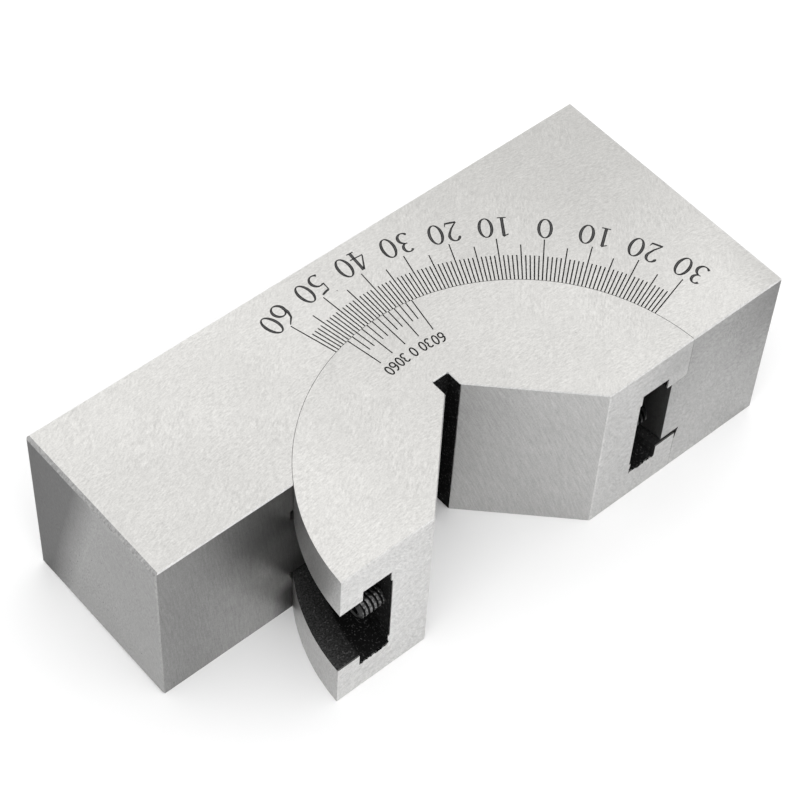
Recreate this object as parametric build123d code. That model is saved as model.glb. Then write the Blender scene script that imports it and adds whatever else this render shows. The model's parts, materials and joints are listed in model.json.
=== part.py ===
from build123d import *
from math import acos, degrees, sqrt
import os

# Adjustable angle V block, lying on its plain side with the graduated side up.
# All sizes are in millimetres. Each piece is drawn with the swivel axis along Z through the
# origin, and moved at the end so that the origin is the middle of the resting side.

# Block
block_length = 102.0
block_thickness = 30.6
axis_to_base = 47.0
axis_to_front = 1.5
shoulder_thickness = 29.2
edge_break = 0.2
shoulder_end_break = 0.5

# Round seat that the V segment swivels in
seat_radius = 32.9
swivel_fit = 0.05
seat_relief_depth = 0.6
seat_relief_height = 2.6
seat_notch_depth = 0.45
seat_notch_height = 2.2
seat_notch_length = 1.5

# V groove of the segment
groove_half_width = 16.4
relief_width = 2.8
relief_depth = 2.7
segment_edge_break = 0.15

# T-slot round the segment's rim
slot_neck_height = 14.2
slot_head_height = 18.5
slot_flange = 4.0
slot_head_depth = 5.1
slot_neck_overcut = 0.3

# Tongue of the block, which guides the segment in the slot's neck
tongue_depth = 3.1
tongue_fit = 0.05
tongue_gap_below = 1.1

# Clamp nut in the slot's head
nut_fit = 0.05
nut_height = 18.0
nut_thickness = 4.5
nut_half_angle = 12.5

# Clamp screw, through the block and its tongue into the nut
clamp_offset = 7.0
clamp_screw_diameter = 6.0
clamp_head_diameter = 10.0
clamp_head_height = 6.0
clamp_key_width = 5.0
clamp_key_depth = 3.0
clamp_hole_diameter = 6.6
counterbore_diameter = 11.0
counterbore_depth = 7.0
screw_point_gap = 0.5
screw_point_chamfer = 0.6
head_chamfer = 0.5
thread_fit = 0.05

# Stop screws in the floor of the slot, one near each end
stop_diameter = 3.5
stop_height = 3.1
stop_bury = 6.0
stop_top_gap = 1.2

# Degree scale on the block, and the vernier on the segment that is read against it
scale_zero_angle = 45.0
scale_lowest = -30
scale_highest = 60
short_line = 4.65
medium_line = 6.7
long_line = 7.9
vernier_middle_angle = 90.0
vernier_pitch = 1.75
vernier_divisions = 6
vernier_short_line = 3.4
vernier_long_line = 6.1
line_width = 0.18
line_depth = 0.1

# Places that follow from the sizes above
half_length = block_length / 2
middle = block_thickness / 2
segment_radius = seat_radius - swivel_fit
flange_radius = segment_radius - slot_flange
floor_radius = flange_radius - slot_head_depth
tongue_radius = seat_radius - tongue_depth
shoulder_front = axis_to_base - shoulder_thickness
groove_apex = axis_to_front + groove_half_width
groove_floor = groove_apex - relief_width / 2
counterbore_floor = axis_to_base - counterbore_depth
nut_outer_radius = flange_radius - nut_fit
nut_inner_radius = nut_outer_radius - nut_thickness
screw_inner_side = clamp_offset - clamp_screw_diameter / 2
screw_point = sqrt(floor_radius**2 - screw_inner_side**2) + screw_point_gap


def slab(profile, height=block_thickness, low=0.0):
    """A flat profile raised to a height, from a level upward."""
    return extrude(Pos(0, 0, low) * profile, amount=height)


def area(left, right, front, back):
    """Rectangle between two X and two Y values."""
    return Pos((left + right) / 2, (front + back) / 2) * Rectangle(right - left, back - front)


def ring(inner, outer):
    """Flat ring about the swivel axis."""
    return Circle(outer) - Circle(inner)


def sector(inner, outer, centre_angle, half_angle):
    """Piece of a ring, to both sides of an angle measured from the X axis."""
    arcs = [
        CenterArc((0, 0), radius, centre_angle - half_angle, 2 * half_angle)
        for radius in (inner, outer)
    ]
    ends = [Line(arcs[0] @ side, arcs[1] @ side) for side in (0, 1)]
    return make_face(arcs + ends)


def rod_along_y(radius, start, end, x=0.0):
    """Cylinder along Y at mid thickness, between two Y values."""
    return Pos(x, (start + end) / 2, middle) * Rot(X=90) * Cylinder(radius, end - start)


def rod_along_x(radius, start, end, y):
    """Cylinder along X at mid thickness, between two X values."""
    return Pos((start + end) / 2, y, middle) * Rot(Y=90) * Cylinder(radius, end - start)


def block_outline():
    """The block from above: a tall right half and a shoulder on the left."""
    right_half = area(0, half_length, axis_to_front, axis_to_base)
    left_half = area(-half_length, 0, shoulder_front, axis_to_base)
    return right_half + left_half


def make_block():
    """Ground block with the round seat, its tongue, relief and notch, and the counterbored hole."""
    outline = block_outline()
    block = slab(outline)
    block = chamfer(block.edges(), edge_break)
    block -= [shoulder_end_cut(level) for level in (0, block_thickness)]
    block -= slab(Circle(seat_radius))
    tongue_low = middle - slot_neck_height / 2 + tongue_gap_below
    tongue_high = middle + slot_neck_height / 2 - tongue_fit
    block -= seat_relief(tongue_low)
    block -= seat_notch(tongue_high)
    block += slab(outline & ring(tongue_radius, seat_radius), tongue_high - tongue_low, tongue_low)
    block -= rod_along_y(clamp_hole_diameter / 2, 0, axis_to_base, clamp_offset)
    block -= rod_along_y(counterbore_diameter / 2, counterbore_floor, axis_to_base, clamp_offset)
    return block - scale_lines()


def seat_relief(level):
    """Cone-sided groove in the seat's wall, deepest at a level, the tongue's underside."""
    section = Polyline(
        (seat_radius - 1, level),
        (seat_radius + seat_relief_depth, level),
        (seat_radius, level - seat_relief_height),
        (seat_radius - 1, level - seat_relief_height),
        close=True,
    )
    return revolve(Plane.XZ * make_face(section), Axis.Z)


def seat_notch(level):
    """Small notch in the seat's wall at the shoulder's front, from a level upward."""
    outer = seat_radius + seat_notch_depth
    square = area(-outer, 0, shoulder_front, shoulder_front + seat_notch_length)
    return slab(square & ring(tongue_radius, outer), seat_notch_height, level)


def shoulder_end_cut(level):
    """Bar turned by 45 degrees that takes the wider edge break off the shoulder's end."""
    side = shoulder_end_break * sqrt(2)
    bar = Box(side, 2 * axis_to_base, side)
    return Pos(-half_length, axis_to_base, level) * Rot(Y=45) * bar


def engraved_line(angle, inner, outer):
    """Square-cut radial line in the graduated side, between two radii."""
    line = Box(outer - inner, line_width, line_depth)
    return Rot(Z=angle) * Pos((inner + outer) / 2, 0, block_thickness - line_depth / 2) * line


def scale_lines():
    """One line for each degree, longer at the fives and longest at the tens."""
    lines = []
    for reading in range(scale_lowest, scale_highest + 1):
        length = long_line if reading % 10 == 0 else medium_line if reading % 5 == 0 else short_line
        angle = scale_zero_angle + reading
        lines.append(engraved_line(angle, tongue_radius, seat_radius + length))
    return lines


def vernier_lines():
    """Lines to both sides of the groove's own axis, with every third one longer."""
    lines = []
    for step in range(-vernier_divisions, vernier_divisions + 1):
        length = vernier_short_line if step % 3 else vernier_long_line
        angle = vernier_middle_angle + step * vernier_pitch
        lines.append(engraved_line(angle, segment_radius - length, segment_radius + 1))
    return lines


def groove_outline():
    """The right-angled V and the square relief at its root."""
    half_root = relief_width / 2
    v_shape = make_face(
        Polyline(
            (-groove_half_width, axis_to_front),
            (-half_root, groove_floor),
            (half_root, groove_floor),
            (groove_half_width, axis_to_front),
            close=True,
        )
    )
    return v_shape + area(-half_root, half_root, axis_to_front, groove_floor + relief_depth)


def make_segment():
    """Half disc with the V groove and a T-slot all round its rim, whose two corners stay sharp."""
    outline = Circle(segment_radius) & area(
        -segment_radius, segment_radius, axis_to_front, segment_radius
    )
    segment = slab(outline - groove_outline())
    broken_edges = segment.edges().filter_by(GeomType.LINE).sort_by(Axis.X)[1:-1]
    segment = chamfer(broken_edges, segment_edge_break)
    neck_low = middle - slot_neck_height / 2
    head_low = middle - slot_head_height / 2
    beyond = segment_radius + 1
    neck_floor = floor_radius - slot_neck_overcut
    segment -= slab(ring(neck_floor, beyond), slot_neck_height, neck_low)
    segment -= slab(ring(floor_radius, flange_radius), slot_head_height, head_low)
    segment -= [stop_rod(side, stop_diameter / 2 + thread_fit) for side in (-1, 1)]
    return segment - vernier_lines()


def stop_rod(side, radius):
    """Rod along X from inside the segment's floor out into the slot, short of the tongue."""
    start = floor_radius - stop_bury
    end = flange_radius - stop_top_gap
    height = axis_to_front + stop_height
    return rod_along_x(radius, *sorted((side * start, side * end)), height)


def make_stop_screws():
    """The pair of stop screws."""
    return [stop_rod(side, stop_diameter / 2) for side in (-1, 1)]


def make_nut():
    """Arc-shaped T-nut with a threaded hole that is square to the block's base."""
    centre_angle = degrees(acos(clamp_offset / (nut_inner_radius + nut_thickness / 2)))
    profile = sector(nut_inner_radius, nut_outer_radius, centre_angle, nut_half_angle)
    nut = slab(profile, nut_height, middle - nut_height / 2)
    return nut - rod_along_y(clamp_screw_diameter / 2 + thread_fit, 0, axis_to_base, clamp_offset)


def make_clamp_screw():
    """Socket head screw with its head in the counterbore and its point in the nut."""
    seat = counterbore_floor
    top = seat + clamp_head_height
    shank = rod_along_y(clamp_screw_diameter / 2, screw_point, seat, clamp_offset)
    shank = chamfer(shank.edges().group_by(Axis.Y)[0], screw_point_chamfer)
    head = rod_along_y(clamp_head_diameter / 2, seat, top, clamp_offset)
    head = chamfer(head.edges().group_by(Axis.Y)[-1], head_chamfer)
    key = extrude(
        Plane((clamp_offset, top, middle), z_dir=(0, 1, 0))
        * RegularPolygon(clamp_key_width / 2, 6, major_radius=False),
        amount=-clamp_key_depth,
    )
    return shank + head - key


def save(node, shape):
    """Write one piece, with the part's origin in the middle of the resting side."""
    to_part_frame = Pos(0, -(axis_to_base + axis_to_front) / 2, 0)
    solids = [to_part_frame * solid for piece in shape for solid in piece.solids()]
    export_step(Compound(children=solids), f"parts/{node}.step")


os.makedirs("parts", exist_ok=True)
save("block_body", [make_block()])
save("v_segment", [make_segment()])
save("clamp_nut", [make_nut()])
save("clamp_screw", [make_clamp_screw()])
save("stop_screws", make_stop_screws())
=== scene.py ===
import json
import math
import bpy
from mathutils import Matrix, Vector


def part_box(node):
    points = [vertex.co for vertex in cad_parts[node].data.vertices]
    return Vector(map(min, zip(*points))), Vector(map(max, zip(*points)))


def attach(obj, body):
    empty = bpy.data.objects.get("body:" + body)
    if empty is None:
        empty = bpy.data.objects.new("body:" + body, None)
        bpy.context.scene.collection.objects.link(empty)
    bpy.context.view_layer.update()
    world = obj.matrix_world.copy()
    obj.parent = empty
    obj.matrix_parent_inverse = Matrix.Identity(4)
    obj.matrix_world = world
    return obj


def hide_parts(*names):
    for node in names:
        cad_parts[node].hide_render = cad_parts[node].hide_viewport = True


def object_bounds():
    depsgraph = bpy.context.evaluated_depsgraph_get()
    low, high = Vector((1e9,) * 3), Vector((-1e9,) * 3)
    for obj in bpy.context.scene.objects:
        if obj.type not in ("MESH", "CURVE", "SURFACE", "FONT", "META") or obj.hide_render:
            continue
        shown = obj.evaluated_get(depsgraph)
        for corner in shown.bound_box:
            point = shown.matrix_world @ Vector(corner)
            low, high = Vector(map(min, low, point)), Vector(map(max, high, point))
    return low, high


# Looks of the adjustable V block. Lengths are in metres: MM turns millimetres into metres.
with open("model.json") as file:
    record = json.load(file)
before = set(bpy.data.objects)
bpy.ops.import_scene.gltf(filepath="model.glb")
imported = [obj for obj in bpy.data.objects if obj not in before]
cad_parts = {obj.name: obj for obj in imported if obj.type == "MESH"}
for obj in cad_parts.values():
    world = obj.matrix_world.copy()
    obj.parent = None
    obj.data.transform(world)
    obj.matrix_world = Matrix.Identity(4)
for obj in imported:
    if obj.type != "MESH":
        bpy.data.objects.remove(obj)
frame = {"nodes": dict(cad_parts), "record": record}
cad_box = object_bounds()
MM = 0.001

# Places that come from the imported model
joint_places = {joint["name"]: joint for joint in frame["record"]["behaviour"]["joints"]}
swivel_x, swivel_y = joint_places["segment_swivel"]["pos_m"][:2]
top_level = cad_box[1].z
middle_level = top_level / 2

# Block and segment. A radius is measured from the swivel axis.
seat_radius = 32.9 * MM
tongue_depth = 3.1 * MM
swivel_fit = 0.05 * MM
front_offset = 1.5 * MM
groove_root_front, groove_root_back = 16.5 * MM, 19.4 * MM
groove_root_half_width = 1.5 * MM
tongue_radius = seat_radius - tongue_depth
segment_radius = seat_radius - swivel_fit

# T-slot round the segment's rim
slot_flange = 4.0 * MM
slot_head_depth = 5.1 * MM
slot_head_height = 18.5 * MM
slot_neck_height = 14.2 * MM
slot_flange_radius = segment_radius - slot_flange
slot_floor_radius = slot_flange_radius - slot_head_depth
past_flange_radius = slot_flange_radius + 0.05 * MM

# Degree scale on the block, with angles in degrees from the X axis
line_depth = 0.1 * MM
scale_zero_angle = 45.0
scale_lowest, scale_highest = -30, 60
scale_pitch = 1.0
short_line, medium_line, long_line = 4.65 * MM, 6.7 * MM, 7.9 * MM
scale_paint_half_width = 0.098 * MM
scale_middle_angle = scale_zero_angle + (scale_lowest + scale_highest) / 2
scale_half_angle = (scale_highest - scale_lowest + scale_pitch) / 2

# Vernier on the segment
vernier_middle_angle = 90.0
vernier_divisions = 6
vernier_pitch = 1.75
vernier_short_line, vernier_long_line = 3.4 * MM, 6.1 * MM
vernier_paint_half_width = 0.09 * MM
vernier_half_angle = (vernier_divisions + 0.5) * vernier_pitch

# Camera: the photograph's viewing angle
camera_target = Vector((1.198, 4.069, 15.0)) * MM
camera_distance = 354.69 * MM
camera_azimuth = -43.607
camera_elevation = 52.482
camera_roll = 3.743
camera_lens = 108.387
camera_sensor = 36.0


def make_camera():
    """Camera on a sphere round its target, turned a little about its own line of sight."""
    azimuth = math.radians(camera_azimuth)
    elevation = math.radians(camera_elevation)
    level_reach = math.cos(elevation)
    back = Vector(
        (math.sin(azimuth) * level_reach, -math.cos(azimuth) * level_reach, math.sin(elevation))
    )
    data = bpy.data.cameras.new("camera")
    data.lens = camera_lens
    data.sensor_width = camera_sensor
    data.clip_start = 0.01
    data.clip_end = 50
    camera = bpy.data.objects.new("camera", data)
    camera.location = camera_target + back * camera_distance
    level = (-back).to_track_quat("-Z", "Y")
    roll = Matrix.Rotation(math.radians(camera_roll), 3, "Z").to_quaternion()
    camera.rotation_mode = "QUATERNION"
    camera.rotation_quaternion = level @ roll
    bpy.context.collection.objects.link(camera)
    bpy.context.scene.camera = camera


class Nodes:
    """Short calls for building a node tree. An input is a number, a tuple or a node's output."""

    def __init__(self, tree):
        self.tree = tree
        tree.nodes.clear()

    def add(self, kind, inputs=None, **settings):
        """Node with its settings made and its inputs set or linked."""
        node = self.tree.nodes.new(kind)
        for name, value in settings.items():
            setattr(node, name, value)
        for name, value in (inputs or {}).items():
            socket = node.inputs[name]
            if isinstance(value, bpy.types.NodeSocket):
                self.tree.links.new(value, socket)
            else:
                socket.default_value = value
        return node

    def math(self, operation, first, second=0.0):
        return self.add("ShaderNodeMath", {0: first, 1: second}, operation=operation).outputs[0]

    def vector(self, operation, first, second):
        node = self.add("ShaderNodeVectorMath", {0: first, 1: second}, operation=operation)
        gives_number = operation in ("DISTANCE", "DOT_PRODUCT")
        return node.outputs["Value" if gives_number else "Vector"]

    def scale(self, value, factor):
        """Colour or direction times a number."""
        places = {0: value, "Scale": factor}
        return self.add("ShaderNodeVectorMath", places, operation="SCALE").outputs[0]

    def split(self, value):
        """X, Y and Z of a place or direction."""
        return self.add("ShaderNodeSeparateXYZ", {0: value}).outputs

    def reach(self, first, second):
        """Length of a line that goes so far along one axis and so far along another."""
        squares = [self.math("POWER", side, 2) for side in (first, second)]
        return self.math("SQRT", self.math("ADD", *squares))

    def ramp(self, value, low, high, start=0.0, end=1.0):
        """Straight change from start to end as the value goes from low to high."""
        places = {"Value": value, "From Min": low, "From Max": high, "To Min": start, "To Max": end}
        return self.add("ShaderNodeMapRange", places, clamp=True).outputs["Result"]

    def mix(self, share, first, second):
        """Number or colour between two others."""
        def is_colour(side):
            return isinstance(side, tuple) or getattr(side, "type", "") == "RGBA"

        # Kind of value, and the sockets of the two sides and of the result
        kind, first_socket, second_socket, result = "FLOAT", 2, 3, 0
        if is_colour(first) or is_colour(second):
            kind, first_socket, second_socket, result = "RGBA", 6, 7, 2
        inputs = {0: share, first_socket: first, second_socket: second}
        return self.add("ShaderNodeMix", inputs, data_type=kind).outputs[result]

    def factor(self, share, inside):
        """One outside an area, and another number where the area's share is one."""
        return self.mix(share, 1.0, inside)

    def product(self, *values):
        """Values multiplied. For shares, it is one where all of them are one."""
        result = values[0]
        for value in values[1:]:
            result = self.math("MULTIPLY", result, value)
        return result

    def largest(self, *values):
        """Largest of the values. For shares, it is one where any of them is one."""
        result = values[0]
        for value in values[1:]:
            result = self.math("MAXIMUM", result, value)
        return result

    def above(self, value, limit):
        return self.math("GREATER_THAN", value, limit)

    def below(self, value, limit):
        return self.math("LESS_THAN", value, limit)

    def between(self, value, low, high):
        return self.product(self.above(value, low), self.below(value, high))


# Limits of a face's direction, as a share of one
upright_limit, level_limit, straight_limit = 0.1, 0.9, 0.97


class Place:
    """Where a point of a piece lies, with Y measured from the swivel axis, and how it faces."""

    def __init__(self, nodes):
        coordinates = nodes.add("ShaderNodeTexCoord").outputs
        self.point = coordinates["Object"]
        self.x, y, self.z = nodes.split(self.point)
        self.y = nodes.math("SUBTRACT", y, swivel_y)
        self.radius = nodes.reach(self.x, self.y)
        self.facing_x, self.facing_y, facing_z = nodes.split(coordinates["Normal"])
        steepness = nodes.math("ABSOLUTE", facing_z)
        self.upright = nodes.below(steepness, upright_limit)
        self.level = nodes.above(steepness, level_limit)
        self.front = nodes.product(self.upright, nodes.below(self.facing_y, -straight_limit))


def grey(value, warmth=0.0):
    """Linear grey, a little yellower as the warmth rises."""
    return (value, value * (1 - warmth * 0.3), value * (1 - warmth), 1.0)


def new_material(name):
    material = bpy.data.materials.new(name)
    material.use_nodes = True
    return material, Nodes(material.node_tree)


def finish_material(nodes, inputs):
    """Shader with its inputs, and the material's output."""
    shader = nodes.add("ShaderNodeBsdfPrincipled", inputs)
    nodes.add("ShaderNodeOutputMaterial", {"Surface": shader.outputs[0]})


fine_detail = 3.0


def soft_noise(nodes, point, size, detail=2.0):
    """Cloudy noise whose blotches are about one size across."""
    noise = nodes.add("ShaderNodeTexNoise", {"Vector": point, "Scale": 1 / size, "Detail": detail})
    return noise.outputs["Fac"]


def grinding_marks(nodes, point, centre, width, length):
    """Short strokes that follow circles about a far centre, as a grinding wheel leaves them."""
    across = nodes.math("MULTIPLY", nodes.vector("DISTANCE", point, centre), 1 / width)
    along = nodes.scale(point, 1 / length)
    marks = nodes.add(
        "ShaderNodeTexNoise",
        {"Vector": along, "W": across, "Scale": 1.0, "Detail": 2.0, "Roughness": 0.5},
        noise_dimensions="4D",
    )
    return marks.outputs["Fac"]


# Tones: painted light and shade. Each face of the steel is painted lighter or darker as light falls on
# it, with painted reflections and shadows. Sloping chamfers are painted lighter as highlights. Walls
# just inside the front, at the slot and at the seat, are painted light as highlights. The tongue's
# inner face is painted nearly black as shade. A ramp over a face goes from one place to another in the
# piece, and from one tone to another.
mouth_highlight_reach = 0.5 * MM
seat_margin, tongue_margin = 0.1 * MM, 0.05 * MM
mouth_highlight_tone = 1.5
wall_tone = 0.55
corner_tone = 0.6
tongue_tone = 0.02


def segment_tone(nodes, at):
    """Painted light and shade of the segment's faces, and of its groove, where the marks are longer."""
    x, y, z = at.x, at.y, at.z
    # Painted light on the top, lighter away from the middle.
    top = nodes.ramp(nodes.math("ABSOLUTE", x), 3 * MM, 25 * MM, 0.94, 1.02)

    # Painted light on the front, lighter at the left, and painted shade at its upper right.
    upper_right = nodes.product(nodes.ramp(x, 21 * MM, 29 * MM), nodes.ramp(z, 20 * MM, 26 * MM))
    front = nodes.product(
        nodes.ramp(x, -25 * MM, 20 * MM, 1.04, 0.855), nodes.factor(upper_right, 0.76)
    )

    # Painted shade in the groove, darker towards its root.
    near_root = nodes.ramp(y, 8 * MM, 16 * MM)
    groove = nodes.product(
        nodes.ramp(y, 2 * MM, 17 * MM, 0.765, 0.66),
        nodes.mix(near_root, 1.03, nodes.ramp(z, 2 * MM, 25 * MM, 1.22, 0.93)),
    )
    in_groove = nodes.product(at.upright, nodes.between(at.facing_y, -0.8, -0.5))

    # Painted shade on the rim, darker towards the back in its upper half; front-facing chamfers painted
    # lighter as highlights.
    upper_rim = nodes.ramp(y, 2 * MM, 9 * MM, 0.85, 0.58)
    rim = nodes.mix(nodes.above(z, middle_level), 0.8, upper_rim)
    broken_edge = nodes.mix(nodes.below(at.facing_y, -0.6), 0.95, 1.22)
    wall = nodes.mix(nodes.below(at.facing_y, -0.8), rim, 1.0)
    # Painted highlight on the walls at the slot's mouth, where its gap is in shade.
    at_mouth = nodes.product(
        at.upright,
        nodes.below(y, front_offset + mouth_highlight_reach),
        nodes.between(at.radius, slot_floor_radius - mouth_highlight_reach, past_flange_radius + mouth_highlight_reach),
    )

    tone = nodes.mix(at.upright, broken_edge, wall)
    tone = nodes.mix(at_mouth, tone, mouth_highlight_tone)
    tone = nodes.mix(in_groove, tone, groove)
    tone = nodes.mix(at.front, tone, front)
    return nodes.mix(at.level, tone, top), in_groove


def block_top_tone(nodes, at):
    """Painted light and shade on the block's top, darker towards the corner at the right end's front.
    """
    x, y = at.x, at.y
    left = nodes.ramp(y, 18 * MM, 47 * MM, 0.95, 1.09)
    toward_right = nodes.ramp(x, 5 * MM, 40 * MM)
    near_corner = nodes.product(nodes.ramp(x, 45 * MM, 50 * MM), nodes.ramp(y, 14 * MM, 7 * MM))
    right = nodes.product(
        nodes.factor(toward_right, nodes.ramp(y, 8 * MM, 34 * MM, 1.06, 0.87)),
        nodes.factor(near_corner, 0.86),
    )
    return nodes.mix(nodes.ramp(x, -20 * MM, 0), left, right)


def shoulder_end_tone(nodes, at):
    """Painted shade on the shoulder's end, darker upward, with a painted dark reflection as a slanted
    band at the back.
    """
    slanted = nodes.math("ADD", at.y, nodes.math("MULTIPLY", at.z, 0.3))
    dark_band = nodes.ramp(at.y, 37 * MM, 46 * MM, 0.14, 0.09)
    return nodes.product(
        nodes.mix(nodes.ramp(slanted, 39.7 * MM, 45.2 * MM), 0.53, dark_band),
        nodes.ramp(at.z, 2 * MM, 28 * MM, 1.08, 0.93),
    )


def shoulder_front_tone(nodes, at):
    """Tone of the shoulder's front, shaded below the slot's flange and lit beside the slot."""
    x, z = at.x, at.z
    right_part = nodes.ramp(z, 16 * MM, 23 * MM, 0.55, 0.43)
    under_flange = nodes.product(
        nodes.ramp(x, -31.5 * MM, -28.9 * MM), nodes.ramp(z, 8 * MM, 5 * MM)
    )
    beside_slot = nodes.product(
        nodes.ramp(x, -35 * MM, -31 * MM),
        nodes.ramp(z, 11 * MM, 14 * MM),
        nodes.ramp(z, 22 * MM, 19 * MM),
    )
    return nodes.product(
        nodes.mix(nodes.ramp(x, -46 * MM, -36 * MM), 0.42, right_part),
        nodes.factor(under_flange, 0.3),
        nodes.factor(beside_slot, 1.4),
        nodes.ramp(z, 2 * MM, 28 * MM, 1.14, 0.99),
    )


def tall_front_tone(nodes, at):
    """Painted shade on the tall end's front, darker upward and to the right."""
    far_corner = nodes.product(
        nodes.ramp(at.x, 41 * MM, 51 * MM), nodes.ramp(at.z, 14 * MM, 27 * MM)
    )
    return nodes.product(
        nodes.ramp(at.x, 36 * MM, 51 * MM, 0.67, 0.52),
        nodes.ramp(at.z, 0, 28 * MM, 1.23, 0.80),
        nodes.factor(far_corner, 0.72),
    )


def block_tone(nodes, at):
    """Painted light and shade of the block's faces, and of its shoulder's front, where the marks are
    longer.
    """
    # Sloping chamfers are painted lighter as highlights, and mottled where they face left.
    facing_left = nodes.below(at.facing_x, -0.3)
    mottled = nodes.ramp(soft_noise(nodes, at.point, 0.4 * MM, fine_detail), 0.35, 0.65, 0.45, 0.62)
    broken_edge = nodes.mix(facing_left, 1.2, mottled)
    aligned = nodes.largest(
        nodes.math("ABSOLUTE", at.facing_x), nodes.math("ABSOLUTE", at.facing_y)
    )
    by_seat = nodes.product(at.upright, nodes.below(at.radius, seat_radius + seat_margin))
    # The tongue's inner face, inside the slot, is painted nearly black as shade.
    on_tongue = nodes.product(at.upright, nodes.below(at.radius, tongue_radius + tongue_margin))
    # Painted highlight on the seat's wall just inside the front on the right, where the seam is in
    # shade.
    right_mouth = nodes.product(
        by_seat, nodes.below(at.y, front_offset + mouth_highlight_reach), nodes.above(at.x, 0)
    )
    on_shoulder = nodes.below(at.x, 0)
    front = nodes.mix(on_shoulder, tall_front_tone(nodes, at), shoulder_front_tone(nodes, at))
    on_end = nodes.below(at.facing_x, -straight_limit)
    on_side = nodes.product(at.upright, nodes.above(aligned, level_limit))

    tone = nodes.mix(at.upright, broken_edge, corner_tone)
    tone = nodes.mix(on_side, tone, wall_tone)
    tone = nodes.mix(by_seat, tone, wall_tone)
    tone = nodes.mix(on_tongue, tone, tongue_tone)
    tone = nodes.mix(right_mouth, tone, mouth_highlight_tone)
    tone = nodes.mix(at.front, tone, front)
    tone = nodes.mix(on_end, tone, shoulder_end_tone(nodes, at))
    tone = nodes.mix(at.level, tone, block_top_tone(nodes, at))
    return tone, nodes.product(at.front, on_shoulder)


# Marks of the grinding wheel. Two fields of strokes take turns in patches, and one face of each
# piece has longer strokes of its own.
stroke_width = 0.24 * MM
first_strokes = {"centre": (0.0, -0.22, -0.05), "width": stroke_width, "length": 0.68 * MM}
second_strokes = {"centre": (-0.15, 0.17, -0.07), "width": stroke_width, "length": 0.72 * MM}
segment_strokes = {"centre": (-0.154, 0.149, -0.083), "width": 0.2 * MM, "length": 2.0 * MM}
block_strokes = {"centre": (-0.6, 0.0, -0.04), "width": 0.2 * MM, "length": 2.0 * MM}
own_strokes_share = 0.75
grain_size, grain_share = 0.22 * MM, 0.4


def surface_marks(nodes, at, own_strokes, has_own_strokes):
    """Strokes of the grinding wheel with a fine grain between them."""
    first = grinding_marks(nodes, at.point, **first_strokes)
    second = grinding_marks(nodes, at.point, **second_strokes)
    patch = nodes.ramp(soft_noise(nodes, at.point, 8 * MM), 0.45, 0.60)
    strokes = nodes.mix(patch, first, second)
    own = grinding_marks(nodes, at.point, **own_strokes)
    own_share = nodes.math("MULTIPLY", has_own_strokes, own_strokes_share)
    strokes = nodes.mix(own_share, strokes, own)
    return nodes.mix(grain_share, strokes, soft_noise(nodes, at.point, grain_size, fine_detail))


# Paint in the engraved lines, and over them where it has spread on the top face. The two rings hold
# every line of the scale and of the vernier.
full_turn = 360.0
near_line_share = 0.4
# Grey of the paint in the lines, also used for the painted shade along the seam.
paint_and_seam_shade_grey = grey(0.008)
paint_roughness = 0.8
scale_ring = seat_radius - 0.2 * MM, seat_radius + long_line + 0.2 * MM
scale_front, scale_left = 7 * MM, -13 * MM
vernier_ring_inside = segment_radius - vernier_long_line - 0.15 * MM
vernier_front = 20 * MM
cut_high, cut_low = top_level - 0.08 * line_depth, top_level - 1.3 * line_depth
top_face_level = top_level - 0.1 * line_depth


def off_multiple(nodes, value, start, step):
    """How far a value lies from the nearest of start, start + step, and so on."""
    ratio = nodes.math("DIVIDE", nodes.math("SUBTRACT", value, start), step)
    part = nodes.math("SUBTRACT", ratio, nodes.math("ROUND", ratio))
    return nodes.math("MULTIPLY", nodes.math("ABSOLUTE", part), step)


def angle_about_axis(nodes, at):
    """Angle of a point about the swivel axis, in degrees from the X axis."""
    return nodes.math("MULTIPLY", nodes.math("ARCTAN2", at.y, at.x), 180 / math.pi)


def near_multiple(nodes, value, start, step, count):
    """One near every line of a count, where the lines lie at start, start + step, and so on."""
    return nodes.below(off_multiple(nodes, value, start, count * step), near_line_share * step)


def line_paint(nodes, at, off_line, from_seam, length, half_width):
    """Paint beside the middle of each line, up to the line's own length from the seam."""
    aside = nodes.product(off_line, at.radius, math.pi / 180)
    uneven = nodes.ramp(soft_noise(nodes, at.point, 0.3 * MM), 0.3, 0.7, 0.85, 1.15)
    taper = nodes.ramp(from_seam, 4 * MM, 8 * MM, 1.0, 0.8)
    reach = nodes.product(taper, uneven, half_width)
    return nodes.product(nodes.below(aside, reach), nodes.between(from_seam, 0.0, length))


def scale_paint(nodes, at):
    """Paint on the block over each degree line, a little wider than the cut below it."""
    angle = angle_about_axis(nodes, at)
    off_line = off_multiple(nodes, angle, scale_zero_angle, scale_pitch)
    is_medium = near_multiple(nodes, angle, scale_zero_angle, scale_pitch, 5)
    is_long = near_multiple(nodes, angle, scale_zero_angle, scale_pitch, 10)
    length = nodes.mix(is_long, nodes.mix(is_medium, short_line, medium_line), long_line)
    from_seam = nodes.math("SUBTRACT", at.radius, seat_radius)
    off_middle = off_multiple(nodes, angle, scale_middle_angle, full_turn)
    paint = line_paint(nodes, at, off_line, from_seam, length, scale_paint_half_width)
    return nodes.product(paint, nodes.below(off_middle, scale_half_angle))


def vernier_paint(nodes, at):
    """Paint on the segment over each vernier line, of which every third one is longer."""
    angle = angle_about_axis(nodes, at)
    off_line = off_multiple(nodes, angle, vernier_middle_angle, vernier_pitch)
    is_long = near_multiple(nodes, angle, vernier_middle_angle, vernier_pitch, 3)
    length = nodes.mix(is_long, vernier_short_line, vernier_long_line)
    from_seam = nodes.math("SUBTRACT", segment_radius, at.radius)
    off_middle = off_multiple(nodes, angle, vernier_middle_angle, full_turn)
    paint = line_paint(nodes, at, off_line, from_seam, length, vernier_paint_half_width)
    return nodes.product(paint, nodes.below(off_middle, vernier_half_angle))


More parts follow.
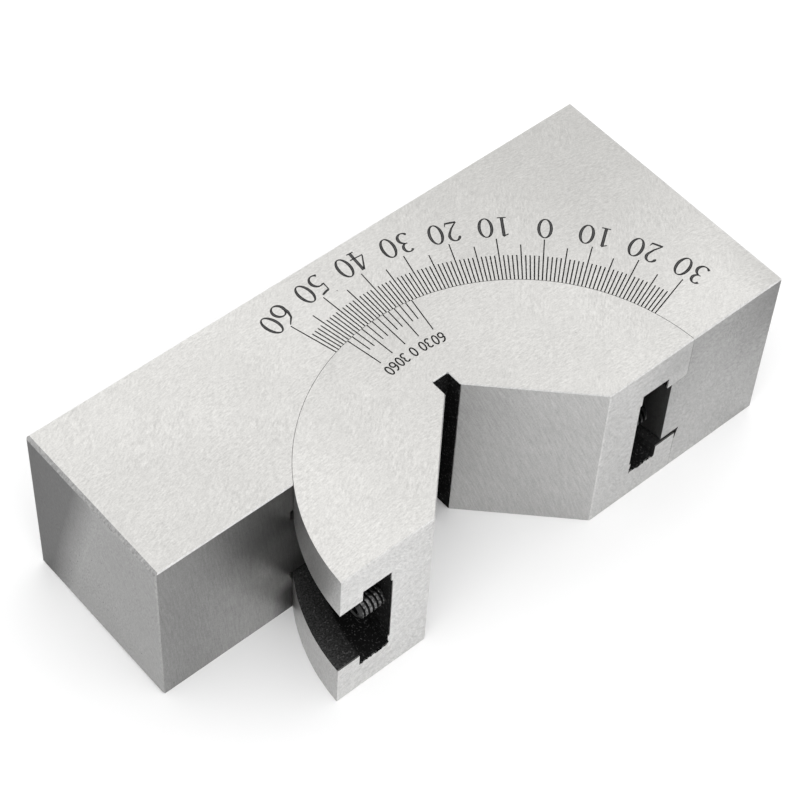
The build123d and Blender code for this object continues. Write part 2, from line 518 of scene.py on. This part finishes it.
def painted_area(nodes, at, is_segment):
    """One on the paint in the cuts of the piece's ring of lines and over them on the top face."""
    if is_segment:
        in_ring = nodes.product(
            nodes.above(at.radius, vernier_ring_inside), nodes.above(at.y, vernier_front)
        )
        over_lines = vernier_paint(nodes, at)
    else:
        in_ring = nodes.product(
            nodes.between(at.radius, *scale_ring),
            nodes.above(at.y, scale_front),
            nodes.above(at.x, scale_left),
        )
        over_lines = scale_paint(nodes, at)
    in_cuts = nodes.product(nodes.between(at.z, cut_low, cut_high), in_ring)
    on_top = nodes.product(nodes.above(at.z, top_face_level), over_lines)
    return nodes.largest(in_cuts, on_top)


# Black scale in the slot and in the groove's root. Its limits are a hair past the cuts.
slot_margin = 0.02 * MM
blackened_inner_radius = 22 * MM
blackened_front = front_offset + 0.2 * MM
blackened_top = top_level - 0.3 * MM
chipped_low, chipped_high = middle_level - slot_head_height / 2, 11 * MM
chip_reach = 0.35 * MM
black_roughness = 0.85


def blackened_area(nodes, at):
    """One inside the slot and the groove's root, and on the chipped edge at the slot's openings."""
    radius, z = at.radius, at.z
    off_middle = nodes.math("ABSOLUTE", nodes.math("SUBTRACT", z, middle_level))
    head = nodes.product(
        nodes.below(off_middle, slot_head_height / 2 + slot_margin),
        nodes.between(radius, blackened_inner_radius, past_flange_radius),
    )
    neck = nodes.product(
        nodes.below(off_middle, slot_neck_height / 2 + slot_margin),
        nodes.above(radius, blackened_inner_radius),
    )
    slot = nodes.product(nodes.above(at.y, blackened_front), nodes.largest(head, neck))
    root = nodes.product(
        nodes.between(at.y, groove_root_front, groove_root_back),
        nodes.below(nodes.math("ABSOLUTE", at.x), groove_root_half_width),
        nodes.below(z, blackened_top),
    )
    ragged = nodes.ramp(soft_noise(nodes, at.point, 0.5 * MM, fine_detail), 0.48, 0.66, 0.0, chip_reach)
    chipped = nodes.product(
        nodes.above(nodes.math("ADD", z, ragged), chipped_low),
        nodes.below(z, chipped_high),
        nodes.above(nodes.math("ADD", radius, ragged), slot_floor_radius),
        nodes.below(radius, past_flange_radius),
    )
    return nodes.largest(slot, root, chipped)


def black_scale(nodes, at):
    """Colour of the black scale, speckled, with painted light as blotchy grey towards the lower
    flange's rim.
    """
    # Painted light: blotchy grey on the lower flange, lighter towards the rim where light falls in.
    flange_blotches = nodes.ramp(soft_noise(nodes, at.point, 0.25 * MM, fine_detail), 0.35, 0.65)
    flange_light_grey = nodes.mix(flange_blotches, grey(0.012), grey(0.055))
    lit_flange_share = nodes.product(
        nodes.ramp(at.radius, 27 * MM, 33 * MM), nodes.below(at.z, middle_level)
    )
    speckle = nodes.ramp(soft_noise(nodes, at.point, 0.3 * MM, fine_detail), 0.58, 0.70)
    return nodes.mix(speckle, nodes.mix(lit_flange_share, grey(0.004), flange_light_grey), grey(0.08))


def seam_dirt(nodes, at):
    """One on a thin dark line of painted shade along the seam on the block's top, wider to the right.
    """
    width = nodes.ramp(at.x, -20 * MM, 32 * MM, 0.004 * MM, 0.022 * MM)
    return nodes.product(
        nodes.above(at.z, top_face_level),
        nodes.below(at.radius, nodes.math("ADD", width, seat_radius)),
    )


# Surface-ground steel. A pair is its value in the dark marks and in the light ones.
marks_lightness = 0.42, 0.76
marks_lightness_on_level = 0.46, 0.72
marks_roughness = 0.42, 0.32
steel_bump = 0.014 * MM
pit_bump = 1.5
polished_gloss, unpolished_gloss = 0.5, 0.12

# Pits: a few everywhere, and many low on the shoulder's end. A pit fades out from the first to the
# second of its edge's shares of the radius.
pit_grey = grey(0.06)
pit_spacing, pit_radius = 1.2 * MM, 0.11 * MM
pit_edge = 0.6, 1.3
few_pits, many_pits = 0.01, 0.8
pitted_right, pitted_high = -50.9 * MM, 19 * MM
pitted_depth = 22 * MM, 40 * MM


def steel_pits(nodes, at):
    """One inside small round pits, of which only a share of the possible ones is there."""
    worn_end = nodes.product(
        nodes.below(at.x, pitted_right),
        nodes.between(at.y, *pitted_depth),
        nodes.below(at.z, pitted_high),
    )
    share = nodes.mix(worn_end, few_pits, many_pits)
    places = {"Vector": at.point, "Scale": 1 / pit_spacing}
    cells = nodes.add("ShaderNodeTexVoronoi", places).outputs
    chosen = nodes.add("ShaderNodeSeparateColor", {0: cells["Color"]}).outputs[0]
    fade = [pit_radius * edge / pit_spacing for edge in pit_edge]
    near = nodes.ramp(cells["Distance"], *fade, 1.0, 0.0)
    return nodes.product(near, nodes.below(chosen, share))


def ground_steel(name, is_segment):
    """Surface-ground steel with painted light and shade, black paint in its engraved lines and, in the
    slot, black scale.
    """
    material, nodes = new_material(name)
    at = Place(nodes)
    tone, has_own_strokes = segment_tone(nodes, at) if is_segment else block_tone(nodes, at)
    own_strokes = segment_strokes if is_segment else block_strokes
    marks = surface_marks(nodes, at, own_strokes, has_own_strokes)
    contrast = nodes.ramp(marks, 0.25, 0.75)
    pairs = zip(marks_lightness, marks_lightness_on_level)
    light = nodes.mix(contrast, *[nodes.mix(at.level, *pair) for pair in pairs])
    cloud = nodes.ramp(soft_noise(nodes, at.point, 14 * MM, fine_detail), 0.3, 0.7, 0.97, 1.03)
    steel_grey = nodes.mix(at.level, grey(1.0, 0.015), grey(1.0, 0.04))
    # The tone paints light and shade on each face.
    colour = nodes.scale(steel_grey, nodes.product(light, cloud, tone))
    rough = nodes.mix(contrast, *marks_roughness)
    pit = steel_pits(nodes, at)
    colour = nodes.mix(pit, colour, pit_grey)

    if is_segment:
        dark = blackened_area(nodes, at)
        colour = nodes.mix(dark, colour, black_scale(nodes, at))
        rough = nodes.mix(dark, rough, black_roughness)
    else:
        # Painted shade along the seam on the block's top.
        dark = seam_dirt(nodes, at)
        colour = nodes.mix(dark, colour, paint_and_seam_shade_grey)
    painted = painted_area(nodes, at, is_segment)
    colour = nodes.mix(painted, colour, paint_and_seam_shade_grey)
    rough = nodes.mix(painted, rough, paint_roughness)

    unpolished = nodes.largest(painted, dark)
    height = nodes.math("SUBTRACT", marks, nodes.math("MULTIPLY", pit, pit_bump))
    bump = nodes.add("ShaderNodeBump", {"Height": height, "Strength": 0.5, "Distance": steel_bump})
    inputs = {
        "Base Color": colour,
        "Metallic": nodes.math("SUBTRACT", 1.0, unpolished),
        "Roughness": rough,
        "Specular IOR Level": nodes.mix(unpolished, polished_gloss, unpolished_gloss),
        "Normal": bump.outputs[0],
    }
    finish_material(nodes, inputs)
    return material


def engraving_paint(name, tone):
    """Paint in the engraved numbers, a little uneven."""
    material, nodes = new_material(name)
    point = nodes.add("ShaderNodeTexCoord").outputs["Object"]
    uneven = nodes.ramp(soft_noise(nodes, point, 0.4 * MM), 0.35, 0.7)
    colour = nodes.mix(uneven, grey(tone), grey(tone * 1.8))
    inputs = {"Base Color": colour, "Roughness": 0.75, "Specular IOR Level": 0.15}
    finish_material(nodes, inputs)
    return material


def worn_thread(nodes, point, grain, colour, centre, crest_radius):
    """Thread along X: painted black as shade on the right; on the left, crests lighter as wear and
    painted glints.
    """
    split = nodes.split(nodes.vector("SUBTRACT", point, centre))
    height = nodes.reach(split[1], split[2])
    left = nodes.below(split[0], 0)
    bright = nodes.mix(nodes.ramp(grain, 0.4, 0.65), grey(0.07), grey(0.30))
    on_crest = nodes.ramp(height, crest_radius * 0.94, crest_radius * 0.98)
    colour = nodes.mix(left, grey(0.006), colour)
    return nodes.mix(nodes.product(on_crest, left), colour, bright)


def dark_steel(name, tone, roughness, crest=None):
    """Blackened steel with fine grain. A crest is the centre and radius of a thread whose crests are
    worn and painted light.
    """
    material, nodes = new_material(name)
    point = nodes.add("ShaderNodeTexCoord").outputs["Object"]
    grain = soft_noise(nodes, point, 0.25 * MM, fine_detail)
    colour = nodes.mix(nodes.ramp(grain, 0.3, 0.7), grey(tone * 0.7), grey(tone * 1.4))
    if crest:
        colour = worn_thread(nodes, point, grain, colour, *crest)
    bump = nodes.add("ShaderNodeBump", {"Height": grain, "Strength": 0.4, "Distance": 0.02 * MM})
    rough = nodes.mix(grain, roughness - 0.08, roughness + 0.08)
    inputs = {"Base Color": colour, "Metallic": 1.0, "Roughness": rough, "Normal": bump.outputs[0]}
    finish_material(nodes, inputs)
    return material


def floor_finish():
    """Plain white floor with a faint unevenness."""
    material, nodes = new_material("floor_white")
    point = nodes.add("ShaderNodeTexCoord").outputs["Object"]
    tone = nodes.mix(soft_noise(nodes, point, 60 * MM), grey(0.93), grey(0.95))
    finish_material(nodes, {"Base Color": tone, "Roughness": 0.9})
    return material


def mesh_object(name, points, faces, materials, face_materials=None):
    """Object made of points and faces, with one or more materials."""
    mesh = bpy.data.meshes.new(name)
    mesh.from_pydata(points, [], faces)
    for material in materials:
        mesh.materials.append(material)
    if face_materials:
        mesh.polygons.foreach_set("material_index", face_materials)
    mesh.update()
    piece = bpy.data.objects.new(name, mesh)
    bpy.context.collection.objects.link(piece)
    return piece


# Numerals are drawn as pen strokes in a box one unit high. A point is (across, up, pen width).
digit_width = 0.58
swelling = 1.3


def arc(centre, size, start, end, thick, thin, steps):
    """Part of an oval, thick at its sides and thin at its top and bottom. Angles are in degrees."""
    points = []
    for step in range(steps + 1):
        angle = math.radians(start + (end - start) * step / steps)
        across = centre[0] + size[0] * math.cos(angle)
        up = centre[1] + size[1] * math.sin(angle)
        width = thin + (thick - thin) * abs(math.cos(angle)) ** swelling
        points.append((across, up, width))
    return points


def serif_digits():
    """Roman digits with thick and thin strokes."""
    thick, thin = 0.12, 0.05
    return {
        "0": [arc((0.29, 0.5), (0.235, 0.46), 0, 360, thick, thin, 28)],
        "1": [
            [(0.30, 0.03, thick), (0.30, 0.93, thick)],
            [(0.13, 0.02, thin), (0.47, 0.02, thin)],
            [(0.12, 0.84, thin), (0.22, 0.89, thin), (0.32, 0.96, thin)],
        ],
        "2": [
            arc((0.28, 0.70), (0.19, 0.25), 160, 0, thick, thin, 10)
            + [(0.44, 0.58, 0.10), (0.30, 0.32, 0.07), (0.07, 0.05, 0.05)],
            [(0.06, 0.05, 0.08), (0.30, 0.05, 0.09), (0.49, 0.05, 0.08)],
            [(0.47, 0.03, 0.05), (0.53, 0.20, 0.03)],
            [(0.085, 0.74, 0.05), (0.10, 0.80, 0.10), (0.13, 0.84, 0.06)],
        ],
        "3": [
            arc((0.26, 0.75), (0.17, 0.21), 150, -75, thick, thin, 12),
            [(0.19, 0.535, thin), (0.30, 0.535, thin)],
            arc((0.24, 0.28), (0.22, 0.25), 80, -140, thick, thin, 14),
            [(0.055, 0.08, 0.05), (0.09, 0.12, 0.10), (0.14, 0.10, 0.05)],
        ],
        "4": [
            [(0.40, 0.02, thick), (0.40, 0.95, thick)],
            [(0.37, 0.95, 0.07), (0.04, 0.32, 0.05)],
            [(0.03, 0.31, thin), (0.57, 0.31, thin)],
            [(0.26, 0.02, thin), (0.54, 0.02, thin)],
        ],
        "5": [
            [(0.17, 0.92, 0.09), (0.32, 0.925, 0.10), (0.51, 0.97, 0.07)],
            [(0.165, 0.92, thin), (0.11, 0.56, thin)],
            arc((0.24, 0.32), (0.24, 0.28), 115, -140, thick, thin, 16),
            [(0.04, 0.07, 0.05), (0.08, 0.11, 0.10), (0.13, 0.09, 0.05)],
        ],
        "6": [
            arc((0.29, 0.30), (0.235, 0.285), 0, 360, thick, thin, 24),
            [(0.075, 0.33, thick), (0.09, 0.57, 0.11), (0.22, 0.82, 0.08), (0.53, 1.02, 0.04)],
        ],
    }


def plain_digits():
    """Bold digits with strokes of one width."""
    pen = 0.125
    return {
        "0": [arc((0.27, 0.5), (0.19, 0.41), 0, 360, pen, pen, 20)],
        "3": [
            arc((0.25, 0.71), (0.17, 0.20), 150, -70, pen, pen, 9),
            arc((0.25, 0.29), (0.19, 0.21), 75, -150, pen, pen, 10),
        ],
        "6": [
            arc((0.27, 0.31), (0.19, 0.23), 0, 360, pen, pen, 16),
            arc((0.36, 0.45), (0.28, 0.46), 175, 75, pen, pen, 8),
        ],
    }


# Engraved numbers: tens of degrees on the block, and minutes on the segment. Heights, radii and
# shifts are in metres, and an advance from digit to digit is a share of the height.
scale_layout = {
    "height": 3.95 * MM,
    "centre_radius": 43.15 * MM,
    "advance": 0.665,
    "shift_by": Vector((-0.13, -0.14)) * MM,
}
vernier_layout = {
    "height": 1.95 * MM,
    "centre_radius": 24.95 * MM,
    "advance": 0.54,
    "shift_by": Vector((0, 0)),
}
labelled_degrees = 10
labelled_minutes = 30
vernier_label_pitch = 0.167
wall_width = 0.13 * MM
least_floor_share = 0.15
closing_gap = 0.001
ink_level = top_level + 0.004 * MM
ink_step = 0.002 * MM


def stroke_faces(stroke, place, scale, points, faces, tones):
    """Flat band along one pen stroke: walls at both sides painted dark as the cut's shade, and a
    lighter floor between.
    """
    closed = math.dist(stroke[0][:2], stroke[-1][:2]) < closing_gap
    spots = stroke[:-1] if closed else stroke
    count = len(spots)
    first = len(points)
    for index, (across, up, width) in enumerate(spots):
        before = spots[index - 1] if closed or index else spots[index]
        after = spots[(index + 1) % count] if closed or index < count - 1 else spots[index]
        run = Vector((after[0] - before[0], after[1] - before[1])).normalized()
        side = Vector((-run.y, run.x))
        half = width / 2
        floor = max(half - wall_width / scale, least_floor_share * half)
        for offset in (-half, -floor, floor, half):
            points.append(place(across + side.x * offset, up + side.y * offset))
    for index in range(count if closed else count - 1):
        here = first + 4 * index
        there = first + 4 * ((index + 1) % count)
        for lane, tone in enumerate((0, 1, 0)):
            faces.append((here + lane, here + lane + 1, there + lane + 1, there + lane))
            tones.append(tone)


def numbers(name, labels, digits, materials, height, centre_radius, advance, shift_by):
    """Numbers round the swivel axis, with their feet outward. A label is (text, angle)."""
    points, faces, tones = [], [], []
    for text, angle in labels:
        turn = math.radians(angle)
        outward = Vector((math.cos(turn), math.sin(turn)))
        along = Vector((-math.sin(turn), math.cos(turn)))
        for position, digit in enumerate(text):
            shift = (position - len(text) / 2) * advance

            for layer, stroke in enumerate(digits[digit]):
                def place(across, up, level=ink_level + layer * ink_step):
                    spot = outward * (centre_radius - (up - 0.5) * height)
                    spot += along * (shift + across + (advance - digit_width) / 2) * height
                    return (swivel_x + spot.x + shift_by.x, swivel_y + spot.y + shift_by.y, level)

                stroke_faces(stroke, place, height, points, faces, tones)
    return mesh_object(name, points, faces, materials, tones)


def make_numbers():
    """The scale's tens on the block and the vernier's minutes on the segment."""
    # The strokes' walls are painted darker than their floors, as shade in the cuts.
    walls = engraving_paint("engraved_walls", 0.008)
    floors = engraving_paint("engraved_floors", 0.05)
    tens = [
        (str(abs(reading)), scale_zero_angle + reading)
        for reading in range(scale_lowest, scale_highest + 1, labelled_degrees)
    ]
    scale = numbers("scale_numbers", tens, serif_digits(), (walls, floors), **scale_layout)
    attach(scale, "block")

    minutes = [
        (str(abs(minute)), vernier_middle_angle + minute * vernier_label_pitch)
        for minute in range(-60, 61, labelled_minutes)
    ]
    vernier = numbers("vernier_numbers", minutes, plain_digits(), (walls, walls), **vernier_layout)
    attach(vernier, "segment")


# Screws
ring_points = 72
rows_per_turn = 14
root_share = 0.2
point_step = 0.1 * MM
sharp_angle = 35

# Stop screws
stop_length = 9.9 * MM
stop_thread = {"pitch": 0.8 * MM, "depth": 0.4 * MM, "crest_share": 0.5}
stop_socket, stop_socket_mouth = 1.6 * MM, 1.9 * MM
stop_socket_bevel = 0.15 * MM
stop_socket_depth = 2.0 * MM

# Clamp screw. Its places along the axis are measured from the head's seat or from the head's top.
clamp_thread = {"pitch": 1.0 * MM, "depth": 0.6 * MM, "crest_share": 0.2}
clamp_shank_radius = 3.0 * MM
clamp_shank_ease = 0.05 * MM
clamp_thread_end = 1.5 * MM
clamp_shank_start = 1.2 * MM
clamp_head_height = 6.0 * MM
clamp_head_bevel = 0.3 * MM
clamp_socket, clamp_socket_mouth = 5.0 * MM, 5.5 * MM
clamp_socket_bevel = 0.25 * MM
clamp_socket_depth = 3.0 * MM
knurl_depth = 0.09 * MM
knurl_end = 0.9 * MM
crown_start, crown_start_step = 0.6 * MM, 0.12 * MM
crown_step = 0.7 * MM


def hexagon(across_flats):
    """Radius of a hexagon as a function of the angle."""
    def radius(angle):
        return across_flats / 2 / math.cos((angle + math.pi / 6) % (math.pi / 3) - math.pi / 6)
    return radius


def round_of(radius):
    """Radius of a circle as a function of the angle."""
    return lambda angle: radius


def thread_rings(start, end, radius, pitch, depth, crest_share):
    """Rings along a screw thread, with the crest winding round as the rings advance."""
    rings = []
    flank_share = (1 - crest_share - root_share) / 2
    count = round((end - start) / pitch * rows_per_turn)
    for row in range(count + 1):
        level = start + (end - start) * row / count

        def helix(angle, level=level):
            phase = (level / pitch - angle / (2 * math.pi)) % 1.0
            rise = (0.5 - root_share / 2 - abs(phase - 0.5)) / flank_share
            return radius - depth * (1 - min(max(rise, 0.0), 1.0))

        rings.append((level, helix))
    return rings


def turned_piece(name, origin, axis, rings, material):
    """Closed piece skinned over rings. A ring is (distance along the axis, radius by angle)."""
    along = Vector(axis)
    side = Vector((0, 0, 1))
    other = along.cross(side)
    points = []
    for level, radius in rings:
        for step in range(ring_points):
            angle = 2 * math.pi * step / ring_points
            out = side * math.cos(angle) + other * math.sin(angle)
            points.append(Vector(origin) + along * level + out * radius(angle))
    faces = []
    last_ring = (len(rings) - 1) * ring_points
    for ring_start in range(0, last_ring, ring_points):
        for step in range(ring_points):
            here = ring_start + step
            beside = ring_start + (step + 1) % ring_points
            faces.append((here, beside, beside + ring_points, here + ring_points))
    faces.append(tuple(reversed(range(ring_points))))
    faces.append(tuple(range(last_ring, last_ring + ring_points)))
    piece = mesh_object(name, points, faces, [material])
    piece.data.set_sharp_from_angle(angle=math.radians(sharp_angle))
    return piece


def stop_screw(name, side, material):
    """Headless screw with a socket in its outer end."""
    low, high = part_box("stop_screws")
    radius = (high.z - low.z) / 2
    depth = stop_thread["depth"]
    outer = high.x
    inner = outer - stop_length
    point = round_of(radius - depth - point_step)
    rings = [
        (inner, point),
        *thread_rings(inner + depth, outer - depth, radius, **stop_thread),
        (outer, point),
        (outer, hexagon(stop_socket_mouth)),
        (outer - stop_socket_bevel, hexagon(stop_socket)),
        (outer - stop_socket_depth, hexagon(stop_socket)),
    ]
    origin = (0, (low.y + high.y) / 2, middle_level)
    piece = turned_piece(name, origin, (side, 0, 0), rings, material)
    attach(piece, "segment")
    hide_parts("stop_screws")


def clamp_screw(material):
    """Socket head screw with a knurled head."""
    low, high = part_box("clamp_screw")
    head_radius = (high.x - low.x) / 2
    depth = clamp_thread["depth"]
    tip, top = low.y, high.y
    seat = top - clamp_head_height
    thread_end = seat - clamp_thread_end
    shank = round_of(clamp_shank_radius - clamp_shank_ease)

    def knurl(angle):
        return head_radius - knurl_depth * (round(angle / (2 * math.pi) * ring_points) % 2)

    rings = [
        (tip, round_of(clamp_shank_radius - depth - point_step)),
        *thread_rings(tip + depth, thread_end, clamp_shank_radius, **clamp_thread),
        (seat - clamp_shank_start, shank),
        (seat, shank),
        (seat, round_of(head_radius - clamp_head_bevel)),
        (seat + clamp_head_bevel, knurl),
        (top - knurl_end, knurl),
        (top - crown_start, round_of(head_radius - crown_start_step)),
        (top, round_of(head_radius - crown_step)),
        (top, hexagon(clamp_socket_mouth)),
        (top - clamp_socket_bevel, hexagon(clamp_socket)),
        (top - clamp_socket_depth, hexagon(clamp_socket)),
    ]
    origin = ((low.x + high.x) / 2, 0, middle_level)
    piece = turned_piece("clamp_screw_detailed", origin, (0, 1, 0), rings, material)
    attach(piece, "screw")
    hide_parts("clamp_screw")


def make_screws():
    """The pair of stop screws, the left one worn and the right one painted dark as shade, and the clamp
    screw.
    """
    low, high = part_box("stop_screws")
    crest = ((0, (low.y + high.y) / 2, middle_level), (high.z - low.z) / 2)
    thread = dark_steel("stop_screw_steel", 0.05, 0.4, crest)
    stop_screw("stop_screw_left", -1, thread)
    stop_screw("stop_screw_right", 1, thread)
    clamp_screw(dark_steel("clamp_screw_oxide", 0.035, 0.38))


def dress(node, material):
    """Give a carried-over CAD node its material."""
    piece = frame["nodes"][node]
    piece.data.materials.clear()
    piece.data.materials.append(material)


def make_floor():
    """Floor that reaches far past the view."""
    size = 3.0
    corners = [(-size, -size, 0), (size, -size, 0), (size, size, 0), (-size, size, 0)]
    floor = mesh_object("floor", corners, [(0, 1, 2, 3)], [floor_finish()])


# Light: a soft sky with brighter patches, as soft boxes round the object would make. A patch is
# (angle from the X axis, height above the floor, strength), with both angles in degrees.
sky_base = 0.72
patch_core, patch_edge = 8, 26
sky_patches = (
    (225, 66, 2.4),
    (270, 42, 0.8),
    (180, 42, 0.8),
    (135, 18, 0.82),
    (45, 66, 0.82),
    (315, 42, 0.73),
    (0, 42, 0.32),
    (45, 42, 0.20),
)


def make_sky():
    """World light whose strength grows from each patch's edge to its core."""
    world = bpy.data.worlds.new("studio")
    world.use_nodes = True
    bpy.context.scene.world = world
    nodes = Nodes(world.node_tree)
    direction = nodes.add("ShaderNodeTexCoord").outputs["Generated"]
    at_edge, at_core = (math.cos(math.radians(angle)) for angle in (patch_edge, patch_core))
    strength = sky_base
    for turn, rise, power in sky_patches:
        turn, rise = math.radians(turn), math.radians(rise)
        level_reach = math.cos(rise)
        aim = Vector((math.cos(turn) * level_reach, math.sin(turn) * level_reach, math.sin(rise)))
        facing = nodes.vector("DOT_PRODUCT", direction, aim)
        strength = nodes.math("ADD", strength, nodes.ramp(facing, at_edge, at_core, 0.0, power))
    background = nodes.add("ShaderNodeBackground", {"Color": (1, 1, 1, 1), "Strength": strength})
    nodes.add("ShaderNodeOutputWorld", {"Surface": background.outputs[0]})


make_camera()
make_sky()
make_floor()
dress("block_body", ground_steel("ground_block_steel", is_segment=False))
dress("v_segment", ground_steel("ground_segment_steel", is_segment=True))
dress("clamp_nut", dark_steel("nut_steel", 0.25, 0.4))
make_numbers()
make_screws()
bpy.context.scene.view_settings.view_transform = "Standard"
